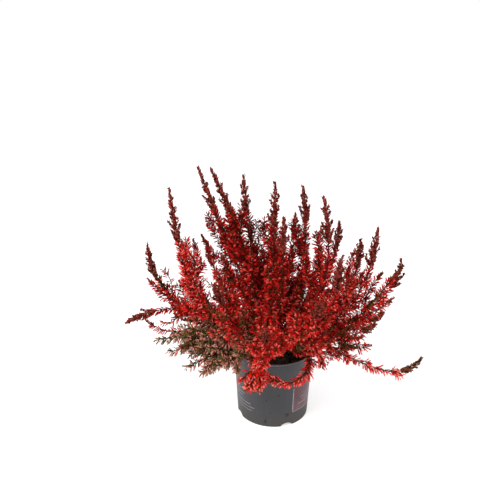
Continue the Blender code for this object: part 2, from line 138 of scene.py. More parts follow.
class Graph:
    """Adds nodes to one tree, with their settings first and then the values or links of their sockets."""

    def __init__(self, tree):
        self.tree = tree

    def node(self, kind, settings=None, sockets=None, out=0):
        made = self.tree.nodes.new(kind)
        for name, setting in (settings or {}).items():
            if name == "stops":
                self.set_stops(made.color_ramp, setting)
            else:
                setattr(made, name, setting)
        for name, given in (sockets or {}).items():
            if isinstance(given, Value):
                self.tree.links.new(given.socket, made.inputs[name])
            else:
                made.inputs[name].default_value = given
        return Value(self, made.outputs[out])

    def set_stops(self, ramp, stops):
        ends = {0: ramp.elements[0], len(stops) - 1: ramp.elements[-1]}
        for k, (place, colour) in enumerate(stops):
            element = ends[k] if k in ends else ramp.elements.new(place)
            element.position = place
            element.color = (*colour, 1.0)

    def ramp(self, value, stops):
        return self.node("ShaderNodeValToRGB", {"stops": stops}, {"Fac": value}, "Color")

    def mix(self, share, first, second, blend="MIX"):
        first, second = [c if isinstance(c, Value) else (*c, 1.0) for c in (first, second)]
        settings = {"data_type": "RGBA", "blend_type": blend, "clamp_factor": True}
        return self.node("ShaderNodeMix", settings, {0: share, 6: first, 7: second}, 2)

    def place(self):
        return self.node("ShaderNodeTexCoord", out="Object")

    def part(self, vector, axis):
        return self.node("ShaderNodeSeparateXYZ", {}, {0: vector}, axis)

    def vector(self, parts):
        return self.node("ShaderNodeCombineXYZ", {}, parts)

    def between(self, value, low, high):
        return (value > low) * (value < high)

    def noise(self, vector, scale, detail=2.0, stretch=(1.0, 1.0, 1.0)):
        if stretch != (1.0, 1.0, 1.0):
            vector = self.node("ShaderNodeMapping", {}, {"Vector": vector, "Scale": stretch})
        sockets = {"Vector": vector, "Scale": scale, "Detail": detail}
        return self.node("ShaderNodeTexNoise", {}, sockets, "Fac")

    def bump(self, height, distance, strength):
        sockets = {"Height": height, "Distance": distance, "Strength": strength}
        return self.node("ShaderNodeBump", {}, sockets)

    def attribute(self, name):
        return self.node("ShaderNodeAttribute", {"attribute_name": name}, {}, "Fac")

    def close(self, label, value):
        end = self.tree.nodes.new("NodeGroupOutput")
        self.tree.links.new(value.socket, end.inputs[label])


def new_material(name, paint, **constants):
    """A Principled material. The paint function returns what varies, by the names of the sockets."""
    made = bpy.data.materials.new(name)
    made.use_nodes = True
    shader = made.node_tree.nodes["Principled BSDF"]
    for socket, constant in constants.items():
        shader.inputs[socket.replace("_", " ")].default_value = constant
    for socket, value in paint(Graph(made.node_tree)).items():
        made.node_tree.links.new(value.socket, shader.inputs[socket])
    return made


def add_print(g, colour, heading, z, ink, cloud):
    """The print on the wall: a mottled panel, pale on its left and lower edges, and the rules."""
    across, upward = g.between(heading, *PANEL_HEADINGS), g.between(z, *PANEL_HEIGHTS)
    rose = g.node("ShaderNodeMapRange", {}, {"Value": cloud, "From Min": 0.48, "From Max": 0.70})
    colour = g.mix(across * upward * (ink * 0.75), colour, g.mix(rose, PRINT_RED, PRINT_ROSE))
    lines = g.between(heading, *PANEL_SIDE) * upward + across * g.between(z, *PANEL_FOOT)
    for height, start, end in RULES:
        span = g.between(heading, math.radians(start), math.radians(end))
        lines = lines + span * g.between(z, height, height + RULE_H)
    return g.mix(lines * (ink * 0.8), colour, PRINT_PALE)


def paint_plastic(g):
    """Grey plastic with flow marks and scratches, a painted highlight on the lip, worn print, peat dust and
    smudges.
    """
    place = g.place()
    x = g.part(place, "X")
    y, z = x.other("Y"), x.other("Z")
    heading = y.math("ARCTAN2", x)
    flow = g.noise(place, 60.0, 3.0, (1.0, 1.0, 0.12))
    cloud = g.noise(place, 28.0, 4.0)
    colour = g.mix(flow, GREY_PLASTIC, GREY_WARM)
    # Painted highlight: the top of the lip is painted paler, as if light falls on it.
    colour = g.mix((z > POT_H - LIP_HIGHLIGHT_H) * 0.7, colour, LIP_HIGHLIGHT)
    ink = 1 - (g.noise(place, 210.0, 5.0) > 0.52) * 0.35
    colour = add_print(g, colour, heading, z, ink, cloud)
    foot = g.node("ShaderNodeMapRange", {}, {"Value": z, "From Min": 0.030, "From Max": 0.0})
    dust = foot * cloud * 0.9
    colour = g.mix(dust, colour, PEAT_DUST)
    unprinted = (1 - g.between(heading, *PANEL_HEADINGS)) * (1 - g.between(heading, *RULES_LEFT))
    smudge = (g.noise(place, 85.0, 5.0) > 0.60 + z * 1.3) * unprinted
    colour = g.mix(smudge * 0.75, colour, PEAT_STAIN)
    fine = g.noise(place, 900.0, 2.0)
    scratch = g.noise(place, 160.0, 6.0, (1.0, 1.0, 7.0)) > 0.63
    rough = 0.34 + flow * 0.12 + dust * 0.5 + scratch * 0.10
    height = fine * 0.25 + scratch * 0.4 + flow * 0.6
    return {"Base Color": colour, "Roughness": rough, "Normal": g.bump(height, 0.0002, 0.35)}


def linked(name, mesh):
    """A new object of a mesh, in the scene."""
    made = bpy.data.objects.new(name, mesh)
    bpy.context.scene.collection.objects.link(made)
    return made


def ring(radius, height, sides):
    """Points round the vertical axis, or the one point on it."""
    turns = [2 * math.pi * k / sides for k in range(sides if radius else 1)]
    return [(radius * math.cos(turn), radius * math.sin(turn), height) for turn in turns]


def as_object(name, shape):
    """A new object of a bmesh, in the scene. The bmesh is freed."""
    mesh = bpy.data.meshes.new(name)
    shape.to_mesh(mesh)
    shape.free()
    return linked(name, mesh)


def ringed(name, rings):
    """A closed object from rings of points, the first and last of which are one point each."""
    shape = bmesh.new()
    loops = [[shape.verts.new(point) for point in points] for points in rings]
    for low, high in zip(loops, loops[1:]):
        count = max(len(low), len(high))
        for k, after in ((k, (k + 1) % count) for k in range(count)):
            corners = [low[k * len(low) // count], low[after * len(low) // count]]
            corners += [high[after * len(high) // count], high[k * len(high) // count]]
            shape.faces.new(list(dict.fromkeys(corners)))
    made = as_object(name, shape)
    made.data.shade_smooth()
    return made


def arc(centre, radius, start, end, count=6):
    """Points of an arc in a profile, from one angle in degrees to another."""
    turns = np.radians(np.linspace(start, end, count))
    return [(centre[0] + radius * math.cos(t), centre[1] + radius * math.sin(t)) for t in turns]


def cut(target, tools):
    """Cut the tools out of the target and remove them."""
    group = bpy.data.collections.new("tools")
    for tool in tools:
        group.objects.link(tool)
    step = target.modifiers.new("cut", "BOOLEAN")
    step.operand_type = "COLLECTION"
    step.collection = group
    evaluated = target.evaluated_get(bpy.context.evaluated_depsgraph_get())
    target.data = bpy.data.meshes.new_from_object(evaluated)
    target.modifiers.remove(step)
    for tool in tools:
        bpy.data.objects.remove(tool)
    bpy.data.collections.remove(group)


inner_base_r = BASE_R - WALL
inner_top_r = inner_base_r + WALL_SLOPE * POT_H
lip_low = POT_H - LIP_H
pot_profile = [(0.0, FOOT_RISE), (FOOT_INNER_R - FOOT_SLANT, FOOT_RISE), (FOOT_INNER_R, 0.0)]
pot_profile += arc((BASE_R - FOOT_ROUND, FOOT_ROUND), FOOT_ROUND, -90, 0)
pot_profile += [(WALL_TOP_R, COLLAR_Z), (COLLAR_R, COLLAR_Z + COLLAR_BEVEL), (COLLAR_R, lip_low - LIP_UNDER)]
pot_profile += arc((RIM_R - LIP_UNDER, lip_low + LIP_UNDER), LIP_UNDER, -90, 0, 4)
pot_profile += arc((RIM_R - LIP_ROUND, POT_H - LIP_ROUND), LIP_ROUND, 0, 90)
pot_profile += arc((inner_top_r + INNER_ROUND, POT_H - INNER_ROUND), INNER_ROUND, 90, 180, 4)
pot_profile += [(inner_base_r, WALL + INNER_ROUND), (inner_base_r - INNER_ROUND, WALL)]
pot_profile += [(FOOT_INNER_R + WALL, WALL), (FOOT_INNER_R + RING_SLANT, FOOT_RISE + WALL)]
pot_profile += [(0.0, FOOT_RISE + WALL)]
pot = ringed("nursery_pot", [ring(radius, height, POT_SIDES) for radius, height in pot_profile])
arch_r = (DRAIN_WIDTH ** 2 / 4 + DRAIN_H ** 2) / (2 * DRAIN_H)
arch_reach = BASE_R - DRAIN_INSET
arches = []
for k in range(DRAIN_COUNT):
    turn = math.radians(DRAIN_HEADING + 360 / DRAIN_COUNT * k)
    bpy.ops.mesh.primitive_cylinder_add(vertices=ARCH_SIDES, radius=arch_r, depth=DRAIN_DEPTH)
    arch = bpy.context.object
    arch.location = (arch_reach * math.cos(turn), arch_reach * math.sin(turn), DRAIN_H - arch_r)
    arch.rotation_euler = (0.0, math.pi / 2, turn)
    arches.append(arch)
cut(pot, arches)
pot.data.shade_smooth()
pot.data.set_sharp_from_angle(angle=SHARP_EDGE)
pot.data.materials.clear()
pot.data.materials.append(new_material("pot plastic", paint_plastic, Specular_IOR_Level=0.3))
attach(pot, "root")
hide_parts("pot")


# The peat is one moist, dark filling, pressed in by hand up to 10 mm below the lip. Crumbs and bits of
# fibre lie loose on it. The stems come straight up out of it.
SOIL_TOP = 0.090
SOIL_LUMP = 0.0012
LUMP_WAVES = [(5, 90), (9, -160)]
SMALL_LUMPS = [(0.0007, 260, 0.4), (0.0004, 700, 2.0)]
SOIL_EDGE_R = 0.0495
SOIL_LEVEL_EDGE = 0.006
SOIL_SHOULDER = 0.004
SOIL_GAP = 0.0006
SOIL_FLOOR_GAP = 0.0003
SOIL_RINGS = 26
SOIL_SIDES = 132
FULL_TURN = 6.283
CRUMB_R = 0.0011
CRUMB_ROUGH = 0.35
CRUMB_GRAIN = 1500
CRUMBS_PER_M2 = 130000.0
FIBRE_LENGTH = 0.009
FIBRE_R = 0.0003
FIBRES_PER_M2 = 22000.0
PEAT_TONES = [(0.30, (0.006, 0.004, 0.003)), (0.50, (0.022, 0.013, 0.008)),
              (0.62, (0.045, 0.027, 0.016)), (0.74, (0.100, 0.062, 0.035))]


def paint_peat(g):
    """Dark brown crumbs, paler where they stand up."""
    place = g.place()
    lumps = g.noise(place, 260.0, 6.0)
    tone = g.noise(place, 900.0, 3.0)
    colour = g.ramp(lumps * 0.6 + tone * 0.4, PEAT_TONES)
    return {"Base Color": colour, "Normal": g.bump(lumps + tone * 0.5, 0.0012, 0.8)}


def peat_height(x, y):
    """Height of the peat above its level: a few broad lumps, and small ones all over."""
    radius, turn = math.hypot(x, y), math.atan2(y, x)
    wave = sum(math.sin(around * turn + outward * radius) for around, outward in LUMP_WAVES)
    broad = SOIL_LUMP * (wave * 0.5 + 0.4)
    small = sum(size * noise.noise((x * fine, y * fine, salt)) for size, fine, salt in SMALL_LUMPS)
    edge = min(1.0, (SOIL_EDGE_R - radius) / SOIL_LEVEL_EDGE)
    return (broad + small) * edge


def new_tree(name, **inputs):
    """A Geometry Nodes tree with named inputs: the graph to build it with, and its first input."""
    tree = bpy.data.node_groups.new(name, "GeometryNodeTree")
    for label, kind in inputs.items():
        tree.interface.new_socket(label, in_out="INPUT", socket_type="NodeSocket" + kind)
    tree.interface.new_socket("Made", in_out="OUTPUT", socket_type="NodeSocketGeometry")
    g = Graph(tree)
    return g, g.node("NodeGroupInput")


def chance(g, given, low, high, salt):
    """A random value for each point, which follows the tree's seed."""
    sockets = {2: low, 3: high, "Seed": given.other("Seed") + salt}
    return g.node("FunctionNodeRandomValue", {"data_type": "FLOAT"}, sockets, 1)


def placed(g, given, **sockets):
    """Copies of the tree's shape on points."""
    sockets["Instance"] = g.node("GeometryNodeObjectInfo", {}, {"Object": given.other("Shape")}, "Geometry")
    return g.node("GeometryNodeInstanceOnPoints", {}, sockets)


def finished(g, given, geometry):
    """Close a tree: real geometry, in the material of its input."""
    real = g.node("GeometryNodeRealizeInstances", {}, {0: geometry})
    g.close("Made", g.node("GeometryNodeSetMaterial", {}, {0: real, "Material": given.other("Material")}))
    return g.tree


def strewing_tree():
    """Geometry Nodes that strew a shape over the top of a mesh."""
    g, ground = new_tree("strewn", Ground="Geometry", Shape="Object", Density="Float", Smallest="Float",
                         Largest="Float", Tilt="Float", Seed="Int", Material="Material")
    upward = g.part(g.node("GeometryNodeInputNormal"), "Z") > 0.5
    sockets = {"Mesh": ground, "Selection": upward}
    sockets.update({label: ground.other(label) for label in ("Density", "Seed")})
    spots = g.node("GeometryNodeDistributePointsOnFaces", {}, sockets, "Points")
    tilt = ground.other("Tilt")
    euler = {"X": chance(g, ground, -1.0, 1.0, 1) * tilt, "Y": chance(g, ground, -1.0, 1.0, 2) * tilt}
    euler["Z"] = chance(g, ground, 0.0, FULL_TURN, 3)
    turn = g.node("FunctionNodeEulerToRotation", {}, {0: g.vector(euler)})
    smallest, largest = ground.other("Smallest"), ground.other("Largest")
    sizes = [chance(g, ground, smallest, largest, salt) for salt in (4, 5, 6)]
    scale = g.vector(dict(enumerate(sizes)))
    return finished(g, ground, placed(g, ground, Points=spots, Rotation=turn, Scale=scale))


def grown(name, guide, tree, shapes=(), **inputs):
    """The plain mesh that a tree makes of a guide mesh, as an object. The shapes it used are removed."""
    holder = linked(name + "_guide", guide)
    step = holder.modifiers.new("grown", "NODES")
    step.node_group = tree
    for socket in tree.interface.items_tree:
        label = socket.name.replace(" ", "_")
        if socket.in_out == "INPUT" and label in inputs:
            step[socket.identifier] = inputs[label]
    evaluated = holder.evaluated_get(bpy.context.evaluated_depsgraph_get())
    mesh = bpy.data.meshes.new_from_object(evaluated)
    mesh.name = name
    bpy.data.objects.remove(holder)
    for shape in shapes:
        bpy.data.objects.remove(shape)
    return linked(name, mesh)


def crumb_shape():
    """A rough crumb of peat."""
    shape = bmesh.new()
    bmesh.ops.create_icosphere(shape, subdivisions=1, radius=CRUMB_R)
    for vert in shape.verts:
        vert.co *= 1.0 + CRUMB_ROUGH * noise.noise(vert.co * CRUMB_GRAIN)
    return as_object("crumb", shape)


def fibre_shape():
    """A thin bent strand of three sides that lies along Y, pointed at both ends."""
    rings = []
    for share in (-0.5, -0.25, 0.0, 0.25, 0.5):
        radius = FIBRE_R * (1.0 - (2 * share) ** 2)
        bend = FIBRE_R * 4 * math.cos(math.pi * share)
        rings.append([(x + bend, share * FIBRE_LENGTH, -y) for x, y, _ in ring(radius, 0.0, 3)])
    return ringed("fibre", rings)


def fitted(height):
    """Radius of the peat at a height, just inside the wall."""
    return BASE_R + WALL_SLOPE * height - WALL - SOIL_GAP


soil_low, soil_shoulder = FOOT_RISE + WALL + SOIL_FLOOR_GAP, SOIL_TOP - SOIL_SHOULDER
soil_profile = [(0.0, soil_low), (fitted(soil_low), soil_low), (fitted(soil_shoulder), soil_shoulder)]
soil_profile += [(radius, SOIL_TOP) for radius in np.linspace(SOIL_EDGE_R, 0.0, SOIL_RINGS)]
peat = ringed("peat", [ring(radius, height, SOIL_SIDES) for radius, height in soil_profile])
for vert in peat.data.vertices:
    if vert.co.z > SOIL_TOP - SOIL_LUMP:
        vert.co.z += peat_height(vert.co.x, vert.co.y)
peat_finish = new_material("moist peat", paint_peat, Roughness=0.95, Specular_IOR_Level=0.3)
peat.data.materials.append(peat_finish)
strewing = strewing_tree()
crumb, fibre = crumb_shape(), fibre_shape()
crumbs = grown("peat_crumbs", peat.data.copy(), strewing, [crumb], Shape=crumb, Density=CRUMBS_PER_M2,
               Smallest=0.5, Largest=1.6, Tilt=3.0, Seed=4, Material=peat_finish)
fibres = grown("peat_fibres", peat.data.copy(), strewing, [fibre], Shape=fibre, Density=FIBRES_PER_M2,
               Smallest=0.4, Largest=1.1, Tilt=0.25, Seed=5, Material=peat_finish)
for loose in (peat, crumbs, fibres):
    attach(loose, "root")
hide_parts("soil")


# The stems are the plant's own wood: thin, dark brown where they leave the peat, and stained red higher
# up by the dye. 29 sprays rise and arch outwards with their side spikes, short twigs fill the bush and
# carry more florets, and a few weak shoots hang over the lip.

# Roots, and the room that a main stem keeps from the others and from the pot. Here and further down, a
# pair of lists gives places along something and the values there.
MAIN_POINTS = 41
UPRIGHT = 0.006
ROOT_SPACING = 0.0078
ROOT_NEAR = 0.004
ROOT_SWING = 0.036
ROOT_LIMIT = 0.043
ROOT_ROUNDS = 200
ROOT_STEP = 0.3
LIP_EDGE = 0.001
POT_ROOM = 0.002
POT_STEP = 0.6
BARE_SHARE = 0.22
ROOM = [0.0, 0.1, BARE_SHARE, 1.0], [0.0025, 0.0045, 0.0075, 0.0085]
COMB_ROUNDS = 80
COMB_STEP = 0.25
COMB_SMOOTH = 0.35
TIP_SHARES = [0.08, 0.28], [0.16, 0.26]

# Side spikes: where they stand on a tall or a low spray, how long they are, and the room they keep.
SIDE_SPIKES = 3
LOW_TIP = 0.17
LOW_SPRAY = 0.115
SHORT_RUN = 0.20
BEHIND = 0.05
TALL_SHARES = 0.26, 0.64
TALL_LENGTHS = 0.045, 0.085
LOW_SHARES = 0.26, 0.44
LOW_LENGTHS = 0.035, 0.050
LONGER_INWARD = 1.2
SHORTER_OUTWARD = 0.5
BRANCH_POINTS = 13
LEAVE_ANGLE = math.radians(66)
END_ANGLE = math.radians(30.7)
SIDE_PULL = 0.35
SIDE_LIFT = 0.35
SIDE_RISE = 0.012
TIP_SPARE = 0.006
HANGING_SPARE = -0.004
LOW_CEILING = 0.160
OVER_RIM = 0.007
OFF_WALL = 0.008
OWN_ROOM = 0.0095
OTHER_ROOM = 0.0145
FREE_FROM = 3
TAKEN_FROM = 2
TRIES = 90
COURSE_SEED = 22

# Twigs and spurs: where they leave their stem, as shares of its length, and how long they are.
TWIG_SEED = 29
TWIG_SHARES = 0.06, 0.72
TWIG_LENGTHS = 0.022, 0.048
TWIG_RISE = -0.002
TWIG_TRIES = 8
SPUR_SHARES = 0.24, 0.70
SPUR_LENGTHS = 0.010, 0.016
SIDE_SPURS = 2
SIDE_SPUR_SHARES = 0.10, 0.50
SIDE_SPUR_LENGTHS = 0.009, 0.013
POSY_SPRAY = 14
POSY_SPURS = 4
POSY_SHARES = 0.70, 0.77

# Shoots that hang over the lip, some of them bare, and the place in front that all keep open.
HANG_HEADINGS = range(166, 258)
HANGING = 6
HANG_SHARES = 0.10, 0.30
HANG_LENGTHS = 0.018, 0.034
HANG_DROPS = 0.002, 0.022
HANG_SWING = 0.8
HANG_REACH = 0.8
HANG_RISE = 0.006
HANG_BEND = 0.010
BARE_SPRAY = 20
BARE_SHOOTS = 4
OPEN_CORNER = -0.024, -0.018, 0.120, 0.068

# Wood: how thick a stem is along its length and where its dye begins. A branch has its number of points,
# its radii at both ends and its dye in one row.
BURIED = 0.012
STEM_SIDES = 4
STEM_POINTS = 46
STEM_THICK = [0.0022, 0.0014, 0.0004]
STEM_THICK_SHARES = [0.0, 0.3, 1.0]
STEM_DYED = [0.15, 0.5]
SIDE_WOOD = 13, (0.0010, 0.0003), 0.9
TWIG_WOOD = 8, (0.0007, 0.0003), 0.5
SPUR_WOOD = 5, (0.0006, 0.0003), 0.8
BARE_WOOD = 8, (0.0008, 0.0006), 0.0
BARK_BROWN = (0.040, 0.022, 0.012)
BARK_DYED = (0.085, 0.012, 0.009)
BARK_CRACK = (0.012, 0.008, 0.006)

# One row a spray: the heading of its root round the pot in degrees from +X, how far its tip swings
# from that, the tip's reach from the pot's axis and its height above the ground in mm, how far the
# stem leaves its root outward and upward as shares of its length, the slope and heading in which its
# tip points, in degrees, and the share of the length over which it bends to that.
SPRAYS = [
    (193, 0, 137, 331, 0.36, 0.18, 84, 193, 0.42),
    (159, 0, 113, 342, 0.10, 0.36, 68, 159, 0.38),
    (190, 4, 84, 354, 0.08, 0.36, 66, 194, 0.38),
    (123, 0, 84, 325, 0.10, 0.36, 88, 123, 0.38),
    (236, 30, 30, 341, 0.06, 0.36, 84, 250, 0.38),
    (49, 0, 53, 319, 0.20, 0.30, 80, 190, 0.42),
    (325, 0, 70, 327, 0.26, 0.24, 78, 180, 0.44),
    (314, 0, 112, 259, 0.26, 0.16, 92, 314, 0.42),
    (15, 0, 119, 248, 0.38, 0.08, 92, 15, 0.40),
    (351, 0, 130, 281, 0.34, 0.14, 88, 351, 0.42),
    (3, 0, 167, 229, 0.36, 0.14, 98, 3, 0.28),
    (21, 0, 171, 125, 0.28, 0.22, 36, 21, 0.38),
    (339, 0, 140, 162, 0.28, 0.18, 44, 339, 0.38),
    (348, 0, 199, 110, 0.26, 0.22, 64, 348, 0.47),
    (71, 0, 85, 268, 0.16, 0.30, 84, 90, 0.40),
    (279, 0, 61, 305, 0.14, 0.30, 88, 260, 0.40),
    (167, 0, 184, 232, 0.46, 0.06, 94, 167, 0.28),
    (191, 0, 201, 147, 0.16, 0.40, -30, 191, 0.40),
    (205, 0, 166, 142, 0.20, 0.28, 8, 205, 0.38),
    (217, 0, 139, 110, 0.20, 0.30, -10, 210, 0.38),
    (253, 0, 94, 86, 0.45, 0.50, -78, 253, 0.38),
    (318, -52, 90, 104, 0.60, 0.55, 35, 175, 0.80),
    (314, 0, 90, 108, 0.55, 0.80, -82, 300, 0.45),
    (236, 0, 128, 236, 0.24, 0.24, 66, 236, 0.38),
    (266, 0, 162, 205, 0.26, 0.22, 50, 266, 0.38),
    (296, 0, 128, 220, 0.24, 0.24, 60, 296, 0.38),
    (97, 0, 164, 160, 0.26, 0.22, 44, 97, 0.38),
    (129, 0, 168, 205, 0.30, 0.18, 76, 129, 0.38),
    (46, 0, 132, 252, 0.30, 0.18, 84, 100, 0.38),
]

# One row a spray: how much dye it took beside its neighbours, how closely its florets stand, how many
# twigs grow from it, and how many of the shorter spurs.
LOOKS = [
    (0.45, 1.30, 20, 20), (-0.05, 0.90, 38, 10), (0.05, 0.90, 34, 10), (-0.15, 0.75, 24, 8),
    (-0.10, 0.80, 20, 8), (0.10, 0.85, 22, 8), (0.10, 0.90, 22, 8), (0.20, 1.00, 20, 10),
    (0.20, 0.95, 16, 8), (0.25, 1.00, 16, 8), (0.15, 0.95, 8, 8), (-0.10, 0.80, 8, 6),
    (-0.05, 0.80, 8, 6), (0.20, 1.10, 2, 3), (-0.05, 0.80, 22, 8), (0.00, 0.85, 20, 8),
    (0.00, 0.85, 20, 8), (0.00, 0.85, 12, 6), (-0.30, 0.90, 26, 8), (-0.40, 0.90, 26, 8),
    (0.30, 1.00, 14, 6), (0.20, 1.35, 4, 2), (0.30, 1.45, 8, 4), (0.15, 1.00, 26, 8),
    (0.20, 1.00, 26, 8), (0.20, 1.00, 26, 8), (0.00, 0.80, 22, 8), (0.00, 0.85, 22, 8),
    (0.05, 0.85, 22, 8),
]


def heading_vector(heading, slope=0.0):
    """Unit vector for a heading from +X and a slope above the ground, in degrees."""
    a, s = math.radians(heading), math.radians(slope)
    return np.array([math.cos(s) * math.cos(a), math.cos(s) * math.sin(a), math.sin(s)])


def unit(vector):
    """The same direction with length one."""
    return vector / np.linalg.norm(vector)


def curve(p0, p1, p2, p3, count):
    """Points of a cubic curve."""
    t = np.linspace(0.0, 1.0, count)[:, None]
    return (1 - t) ** 3 * p0 + 3 * (1 - t) ** 2 * t * p1 + 3 * (1 - t) * t ** 2 * p2 + t ** 3 * p3


def spread_roots():
    """Places of the stems in the peat: the flatter a spray leaves the pot, the nearer to the rim."""
    roots = []
    for heading, _, reach, height, *_ in SPRAYS:
        flatness = math.atan2(reach / 1000, max(height / 1000 - SOIL_TOP, 0.001)) / (math.pi / 2)
        roots.append((ROOT_NEAR + ROOT_SWING * flatness) * heading_vector(heading)[:2])
    roots = np.array(roots)
    itself = np.eye(len(roots))
    for _ in range(ROOT_ROUNDS):
        away = roots[:, None] - roots[None]
        far = np.linalg.norm(away, axis=2) + itself
        short = np.clip(ROOT_SPACING - far, 0.0, None) * (1 - itself)
        roots += ROOT_STEP * (away / far[..., None] * short[..., None]).sum(axis=1)
        out = np.linalg.norm(roots, axis=1, keepdims=True)
        roots *= np.minimum(1.0, ROOT_LIMIT / out)
    return roots


def off_the_pot(points, width):
    """Shift that lifts points over the rim and holds hanging ones off the wall."""
    reach = np.linalg.norm(points[:, :2], axis=1)
    outward = points[:, :2] / (reach[:, None] + 1e-9)
    side, rise = reach - RIM_R + LIP_EDGE, points[:, 2] - POT_H + LIP_EDGE
    far = np.hypot(side, rise) + 1e-9
    short = np.clip(width + POT_ROOM - far, 0.0, None)
    below = np.clip(RIM_R + width + LIP_EDGE - reach, 0.0, None) * ((rise < 0) & (side > 0))
    out = np.where(below > 0, below, short * side / far)
    up = np.where(below > 0, 0.0, short * np.abs(rise) / far)
    return np.column_stack([outward * out[:, None], up]) * POT_STEP


def main_paths(roots, count=MAIN_POINTS):
    """The course of every main stem from the peat to its tip, combed so that none crowds another."""
    paths = []
    for (heading, swing, reach, height, out, up, slope, facing, pull), root in zip(SPRAYS, roots):
        base = np.array([root[0], root[1], SOIL_TOP + UPRIGHT])
        tip = heading_vector(heading + swing) * reach / 1000 + [0, 0, height / 1000]
        length = np.linalg.norm(tip - base)
        leave = base + heading_vector(heading) * out * length + [0, 0, up * length]
        arrive = tip - heading_vector(facing, slope) * pull * length
        paths.append(curve(base, leave, arrive, tip, count))
    start = np.array(paths)
    shift = np.zeros_like(start)
    width = np.tile(np.interp(np.linspace(0.0, 1.0, count), *ROOM), len(start))
    same = np.repeat(np.arange(len(start)), count)
    apart = same[:, None] != same[None]
    for _ in range(COMB_ROUNDS):
        flat = (start + shift).reshape(-1, 3)
        shift += off_the_pot(flat, width).reshape(start.shape)
        away = flat[:, None] - flat[None]
        far = np.linalg.norm(away, axis=2) + 1e-9
        short = np.clip(width[:, None] + width[None] - far, 0.0, None) * apart
        shift += COMB_STEP * (away * (short / far)[..., None]).sum(axis=1).reshape(start.shape)
        shift[:, 0] = 0.0
        shift[:, 1:-1] += COMB_SMOOTH * (shift[:, :-2] + shift[:, 2:] - 2 * shift[:, 1:-1])
    return start + shift


def resampled(path, places):
    """Points at the given distances along a path."""
    steps = np.linalg.norm(np.diff(path, axis=0), axis=1)
    run = np.concatenate([[0.0], np.cumsum(steps)])
    return np.stack([np.interp(places, run, path[:, k]) for k in range(3)], axis=1)


def run_of(path):
    """Length of a path."""
    return float(np.linalg.norm(np.diff(path, axis=0), axis=1).sum())


def joint_of(main):
    """Distance along a stem at which its leafy tip begins: a tall one has more tip."""
    whole = run_of(main)
    return whole * (1 - float(np.interp(whole, *TIP_SHARES)))


def branch_path(rng, main, shares, lengths):
    """A branch that leaves a main stem at an angle and bends back to its direction."""
    share = rng.uniform(*shares)
    length = rng.uniform(*lengths) * (LONGER_INWARD - SHORTER_OUTWARD * share)
    place = int(share * (len(main) - 1))
    along = unit(main[place + 1] - main[place - 1])
    level = unit(np.cross(along, [0.0, 0.0, 1.0]))
    turn = rng.uniform(0, 2 * math.pi)
    side = level * math.cos(turn) + np.cross(level, along) * math.sin(turn)
    start = main[place]
    end = start + (math.cos(END_ANGLE) * along + math.sin(END_ANGLE) * side) * length
    leave = start + (math.cos(LEAVE_ANGLE) * along + math.sin(LEAVE_ANGLE) * side) * length * SIDE_PULL
    arrive = end - unit(along + np.array([0.0, 0.0, SIDE_LIFT])) * length * SIDE_PULL
    return curve(start, leave, arrive, end, BRANCH_POINTS)


def inside_bush(path, tip, rise):
    """Whether a branch ends within its spray's own reach and height, and rises on a tall one."""
    spare = TIP_SPARE if tip[2] > POT_H else HANGING_SPARE
    reach, own = np.linalg.norm(path[-1, :2]), np.linalg.norm(tip[:2])
    rising = tip[2] < LOW_TIP or path[-1, 2] > path[0, 2] + rise
    level = min(tip[2], POT_H) < path[-1, 2] < max(tip[2], LOW_CEILING) - TIP_SPARE
    return rising and level and reach < own - spare


def clear_of_pot(path):
    """Whether a branch passes over the rim or stays outside the wall."""
    reach = np.linalg.norm(path[:, :2], axis=1)
    above = path[:, 2] > POT_H + OVER_RIM
    beside = (reach > RIM_R + OFF_WALL) & (path[:, 2] > OFF_WALL)
    return bool(np.all(above | beside))


def side_paths(mains):
    """Side spikes for every spray, each kept only where it has room. A short or low one has fewer."""
    rng = random.Random(COURSE_SEED)
    taken = mains.reshape(-1, 3)
    owner = np.repeat(np.arange(len(mains)), mains.shape[1])
    chosen = [[] for _ in mains]
    for turn in range(SIDE_SPIKES + 1):
        for k, main in enumerate(mains):
            tip = main[-1]
            wanted = SIDE_SPIKES - (run_of(main) < SHORT_RUN) + (tip[1] > BEHIND) - (tip[2] < LOW_SPRAY)
            if turn >= wanted:
                continue
            tall = tip[2] > LOW_TIP
            shares, lengths = (TALL_SHARES, TALL_LENGTHS) if tall else (LOW_SHARES, LOW_LENGTHS)
            for _ in range(TRIES):
                path = branch_path(rng, main, shares, lengths)
                free = path[FREE_FROM:]
                far = np.linalg.norm(free[:, None] - taken[None], axis=2)
                room = np.where(owner == k, OWN_ROOM, OTHER_ROOM)
                if inside_bush(path, tip, SIDE_RISE) and clear_of_pot(free) and np.all(far > room[None]):
                    chosen[k].append(path)
                    taken = np.vstack([taken, path[TAKEN_FROM:]])
                    owner = np.concatenate([owner, np.full(len(path) - TAKEN_FROM, -1)])
                    break
    return chosen


def leaves_open(path):
    """Whether a twig keeps out of the place inside the front of the lip where the peat shows."""
    left, front, top, outer = OPEN_CORNER
    within = np.linalg.norm(path[:, :2], axis=1) < outer
    return not np.any(within & (path[:, 0] > left) & (path[:, 1] < front) & (path[:, 2] < top))


def twig_paths(rng, main, wanted, shares, lengths, tip=None):
    """Twigs of a stem that stay off the pot and, if its tip is given, inside the bush."""
    tried = (branch_path(rng, main, shares, lengths) for _ in range(TWIG_TRIES * wanted))
    kept = [path for path in tried if clear_of_pot(path[FREE_FROM:]) and leaves_open(path)]
    return [path for path in kept if tip is None or inside_bush(path, tip, TWIG_RISE)][:wanted]


